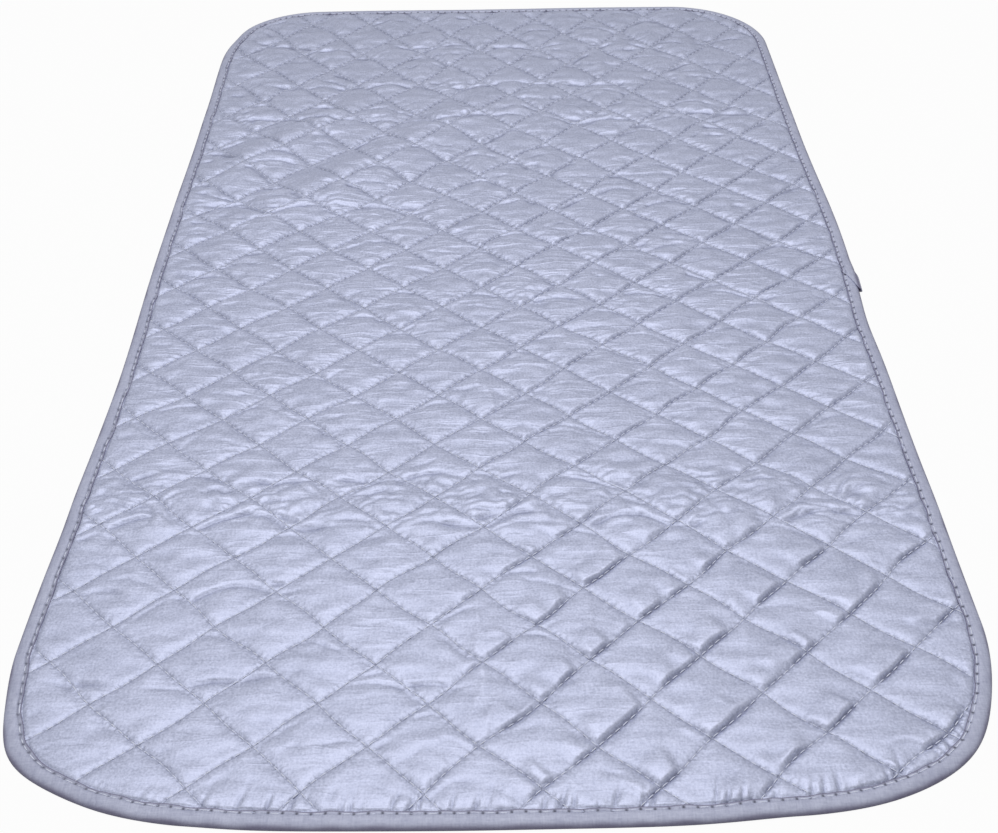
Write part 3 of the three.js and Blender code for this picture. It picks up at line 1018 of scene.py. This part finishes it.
def wadding_fibre():
    """Loose white fibre, cloudy and matt."""
    finish = Finish("wadding_fibre", Roughness=0.95)
    fluff = finish.noise((300, 300, 300), 5.0)
    finish.set("Base Color", finish.blend(fluff, colour(226, 226, 222), colour(246, 246, 243)))
    finish.set("Normal", finish.bump(fluff, 0.0006, 0.7))
    return finish.material


def on_outline(distance):
    """x, y and the way inwards at distances along the outline. Past the whole
    round, the path goes on along the right side."""
    once = np.minimum(distance, RUN[-1])
    x, y, in_x, in_y = (np.interp(once, RUN, PATH[:, k]) for k in range(4))
    return x, y - (distance - once), in_x, in_y


def tape_section():
    """Closed section of the folded tape as (depth, height), from the lower inner
    edge round the outside to the upper inner edge, and back inside, and the first
    point of its upper leg. The outer edge is a quarter of an ellipse. The upper leg
    rises evenly, less a smooth step by which it droops where it is sewn down."""
    turn = np.linspace(0, np.pi / 2, 7)
    edge_depth = EDGE_ROUND - EDGE_ROUND * np.cos(turn)
    edge_height = EDGE_FOOT + (TAPE_TOP - EDGE_FOOT) * np.sin(turn)
    leg = np.array([4.9, 5.8, 6.5, 7.0, 7.4, 7.8, 8.3, TAPE_WIDTH])
    droop = LEG_DROOP * smooth((leg - DROOP_START) / DROOP_LENGTH)
    leg_height = TAPE_TOP + LEG_SLOPE * (leg - EDGE_ROUND) - droop
    low = [(depth, 0.0) for depth in (TAPE_WIDTH, 7.0, 5.0, 3.0, 1.4)]
    fold = [(0.6, 0.0), (0.15, 0.2), *zip(edge_depth, edge_height)]
    ceiling = TAPE_TOP - TAPE_THICKNESS
    inside = [
        (TAPE_WIDTH, leg_height[-1] - TAPE_THICKNESS), (DROOP_START, ceiling),
        (EDGE_ROUND, ceiling), (2.1, 2.2), (1.0, 1.5), (0.7, 0.9),
        (1.3, TAPE_THICKNESS), (5.0, TAPE_THICKNESS), (TAPE_WIDTH, TAPE_THICKNESS),
    ]
    section = np.array([*low, *fold, *zip(leg, leg_height), *inside])
    return section, len(low) + len(fold) - 3


def binding():
    """Binding: the tape's section carried along the outline once round and over its
    own start. Its upper leg dips along the seam, puckers between stitches and
    wavers a little; the last stretch is lifted over the start and ends on a slant.
    """
    section, first_upper = tape_section()
    length = RUN[-1] + LAP_LENGTH
    distance = np.linspace(0, length, int(length / STATION_STEP))
    x, y, in_x, in_y = on_outline(distance)
    depth = np.tile(section[:, 0], (len(distance), 1))
    height = np.tile(section[:, 1], (len(distance), 1))
    along = distance[:, None]
    upper = (np.arange(len(section)) >= first_upper)[None, :] & (height > TAPE_TOP / 2)
    groove = 0.55 * bell(depth - STITCH_DEPTH, 0.8)
    beat = 0.5 + 0.5 * np.cos(2 * np.pi * along / STITCH_PITCH)
    puff = 0.25 * bell(depth - 5.0, 1.8)
    ripple = 0.22 * waves(along, depth * 0.6, 21, 14, 5, 14, 0, 0.5) * smooth((depth - 1) / 5)
    height = height + upper * (puff - groove * (0.6 + 0.4 * beat) + ripple * 0.5)
    waver = 0.25 * waves(along, 0 * along, 23, 12, 14, 60, 0, 0.1)
    depth = depth + waver * smooth((depth - 5) / 4)
    climb = smooth((distance - (RUN[-1] - LAP_CLIMB)) / LAP_CLIMB)[:, None]
    centre = TAPE_TOP / 2
    spread = np.sign(height - centre) * np.minimum(1, np.abs(height - centre) / centre)
    height = height + climb * LAP_LIFT * np.maximum(spread, 0)
    loose = smooth((distance - RUN[-1]) / 8)[:, None] * bell(depth, 4)
    depth = depth - climb * LAP_LIFT * bell(depth, 3) - 1.4 * loose
    slant = smooth((distance - (RUN[-1] + 2)) / (LAP_LENGTH - 2))[:, None]
    back = LAP_SLANT * LAP_LENGTH * np.clip(depth / TAPE_WIDTH, 0, 1) * slant
    px = x[:, None] + depth * in_x[:, None]
    py = y[:, None] + depth * in_y[:, None] + back
    height = np.maximum(height, 0) + lift(px, py)
    points = np.stack([px, py, height], -1)
    rows, size = height.shape
    index = np.arange(rows * size).reshape(rows, size)
    beside = np.roll(index, -1, axis=1)
    quads = np.stack([index[:-1], beside[:-1], beside[1:], index[1:]], -1).reshape(-1, 4)
    caps = [index[0][::-1].tolist(), index[-1].tolist()]
    chart = np.stack([np.broadcast_to(along / STITCH_PITCH, depth.shape), depth - waver], -1)
    return mesh_object("binding_tape", points.reshape(-1, 3), quads, caps, chart=chart.reshape(-1, 2))


def capsules(name, centres, ways, ups, half_length, bow):
    """Short stitches, each a five-sided tube with pointed ends. Its middle line is a
    parabola bowed upwards, drawn from the centre both ways."""
    stations = np.array([-0.8, -0.35, 0.35, 0.8])
    widths = np.array([0.75, 1.0, 1.0, 0.75])
    angle = 2 * np.pi * np.arange(THREAD_SIDES) / THREAD_SIDES
    across = np.cross(ways, ups)
    ring = (
        widths[:, None, None] * THREAD_RADIUS
        * (np.cos(angle)[None, :, None] * across[:, None, None, :]
           + np.sin(angle)[None, :, None] * ups[:, None, None, :])
    )
    sag = bow * (1 - (stations / stations[-1]) ** 2) - bow
    middle = (
        centres[:, None, None, :]
        + stations[None, :, None, None] * half_length * ways[:, None, None, :]
        + sag[None, :, None, None] * ups[:, None, None, :]
    )
    tube = (middle + ring).reshape(len(centres), -1, 3)
    tips = [centres + end * half_length * ways - (bow + THREAD_RADIUS) * ups for end in (-1, 1)]
    points = np.concatenate([tube, tips[0][:, None], tips[1][:, None]], 1)
    here = np.arange(THREAD_SIDES)
    near = np.roll(here, -1)
    starts = THREAD_SIDES * np.arange(len(stations))[:, None]
    side = np.stack([starts[:-1] + here, starts[1:] + here, starts[1:] + near, starts[:-1] + near], -1)
    last = starts[-1]
    tip = here * 0 + last + THREAD_SIDES
    end = np.stack([tip, here, near, tip + 1, last + near, last + here], -1)
    shift = (np.arange(len(centres)) * points.shape[1])[:, None, None]
    quads = (side.reshape(1, -1, 4) + shift).reshape(-1, 4)
    fans = (end.reshape(1, -1, 3) + shift).reshape(-1, 3)
    return mesh_object(name, points.reshape(-1, 3), quads, fans)


def along_ways(points, after):
    """Unit ways from points to the ones just after, and ups square to them."""
    ways = after - points
    ways = ways / np.linalg.norm(ways, axis=1, keepdims=True)
    ups = np.array([[0, 0, 1.0]]) - ways[:, 2:] * ways
    return ways, ups / np.linalg.norm(ups, axis=1, keepdims=True)


def seam_stitches(name, family, side):
    """Stitches of one family of seams, from needle hole to needle hole, with holes at
    equal parts of a diamond's side. Side is 1 for the face and -1 for the back."""
    level = FACE_STITCH_HEIGHT if side > 0 else BACK_STITCH_HEIGHT
    line, step = np.meshgrid(np.arange(-22, 23), np.arange(-30 * STITCHES, 31 * STITCHES))
    run = (step.ravel() + 0.5) / STITCHES
    ends = []
    for part in (0, 0.02):
        u, v = (line.ravel(), run + part) if family == 1 else (run + part, line.ravel())
        ends.append(lattice_point(u + v, u - v) + (u + v, u - v))
    x, y, column, row = ends[0]
    depth, _, _ = inside_outline(x, y)
    held = (depth > SEAM_END) & (column > FIRST_COLUMN) & (column < LAST_COLUMN)
    held &= (row > FIRST_ROW) & (row < LAST_ROW)
    points = [
        np.column_stack([px[held], py[held], level + lift(px[held], py[held])])
        for px, py, _, _ in ends
    ]
    ways, ups = along_ways(*points)
    half = QUILTING_HALF * SIDE / STITCHES
    return capsules(name, points[0], ways, side * ups, half, 0.25)


def binding_stitches(name, side):
    """Stitches of the binding's seam on its upper or lower leg, once round. On the
    far left and along the near edge they are sunk into the tape by smooth steps."""
    count = int(RUN[-1] / STITCH_PITCH)
    distance = (np.arange(count) + 0.5) * STITCH_PITCH
    points = []
    for ahead in (0.0, 0.5):
        x, y, in_x, in_y = on_outline(distance + ahead)
        x, y = x + STITCH_DEPTH * in_x, y + STITCH_DEPTH * in_y
        at_near = 0.3 * smooth((-y - 380) / 30) * smooth((x + 140) / 60) * smooth((180 - x) / 50)
        sunk = 0.22 * smooth(-x / 60 - 2) + at_near
        height = TAPE_STITCH_HEIGHT - sunk if side > 0 else UNDER_STITCH_HEIGHT
        points.append(np.column_stack([x, y, height + lift(x, y)]))
    ways, ups = along_ways(*points)
    return capsules(name, points[0], ways, side * ups, BINDING_HALF * STITCH_PITCH, 0.3)


make_camera()

away = sewn_cloth()
face, face_grid = quilted_face(away)
face.data.materials.append(silver_fabric())
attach(face, "root")
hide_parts("face_fabric")

batting = wadding(face_grid["low"])
batting.data.materials.append(wadding_fibre())
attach(batting, "root")
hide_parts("batting")

underside = backing()
underside.data.materials.append(backing_weave())
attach(underside, "root")
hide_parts("backing_fabric")

tape = binding()
tape.data.materials.append(tape_fabric())
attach(tape, "root")
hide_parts("binding")

thread = Finish("sewing_thread", Roughness=0.5, Base_Color=colour(222, 226, 242)).material
for stitches in (
    seam_stitches("quilting_thread_left", 1, 1),
    seam_stitches("quilting_thread_right", 2, 1),
    seam_stitches("bobbin_thread_left", 1, -1),
    seam_stitches("bobbin_thread_right", 2, -1),
    binding_stitches("binding_thread", 1),
    binding_stitches("binding_bobbin_thread", -1),
):
    stitches.data.materials.append(thread)
    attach(stitches, "root")


def make_stage():
    """Pale floor, pale world and one soft lamp overhead. What the camera, gloss and
    glass see of the floor is nearly white, and it keeps a small share of its shading."""
    bpy.ops.mesh.primitive_plane_add(size=FLOOR_SIZE)
    floor = bpy.context.object
    floor.name = "floor"
    finish = Finish("floor")
    finish.tree.nodes.remove(finish.shader)
    seen = finish.node("ShaderNodeLightPath", output="Is Camera Ray")
    for ray in ("Is Glossy Ray", "Is Transmission Ray"):
        seen = seen.alone("MAXIMUM", finish.node("ShaderNodeLightPath", output=ray))
    cloth = finish.node("ShaderNodeBsdfDiffuse", None, {"Color": FLOOR_COLOUR})
    glow = finish.node("ShaderNodeEmission", None, {"Color": WHITE})
    inputs = {0: seen * FLOOR_GLOW, 1: cloth, 2: glow}
    surface = finish.node("ShaderNodeMixShader", None, inputs)
    finish.feed(finish.tree.nodes["Material Output"].inputs["Surface"], surface)
    floor.data.materials.append(finish.material)
    world = bpy.data.worlds.new("world")
    bpy.context.scene.world = world
    world.use_nodes = True
    background = world.node_tree.nodes["Background"]
    background.inputs["Color"].default_value = WHITE
    background.inputs["Strength"].default_value = WORLD_STRENGTH
    data = bpy.data.lights.new("overhead", "AREA")
    data.size = LAMP_SIZE
    data.energy = LAMP_POWER
    lamp = bpy.data.objects.new("overhead", data)
    lamp.location = LAMP_PLACE
    to_middle = -Vector(LAMP_PLACE)
    lamp.rotation_euler = to_middle.to_track_quat("-Z", "Y").to_euler()
    bpy.context.scene.collection.objects.link(lamp)


make_stage()
bpy.context.scene.view_settings.view_transform = "Standard"
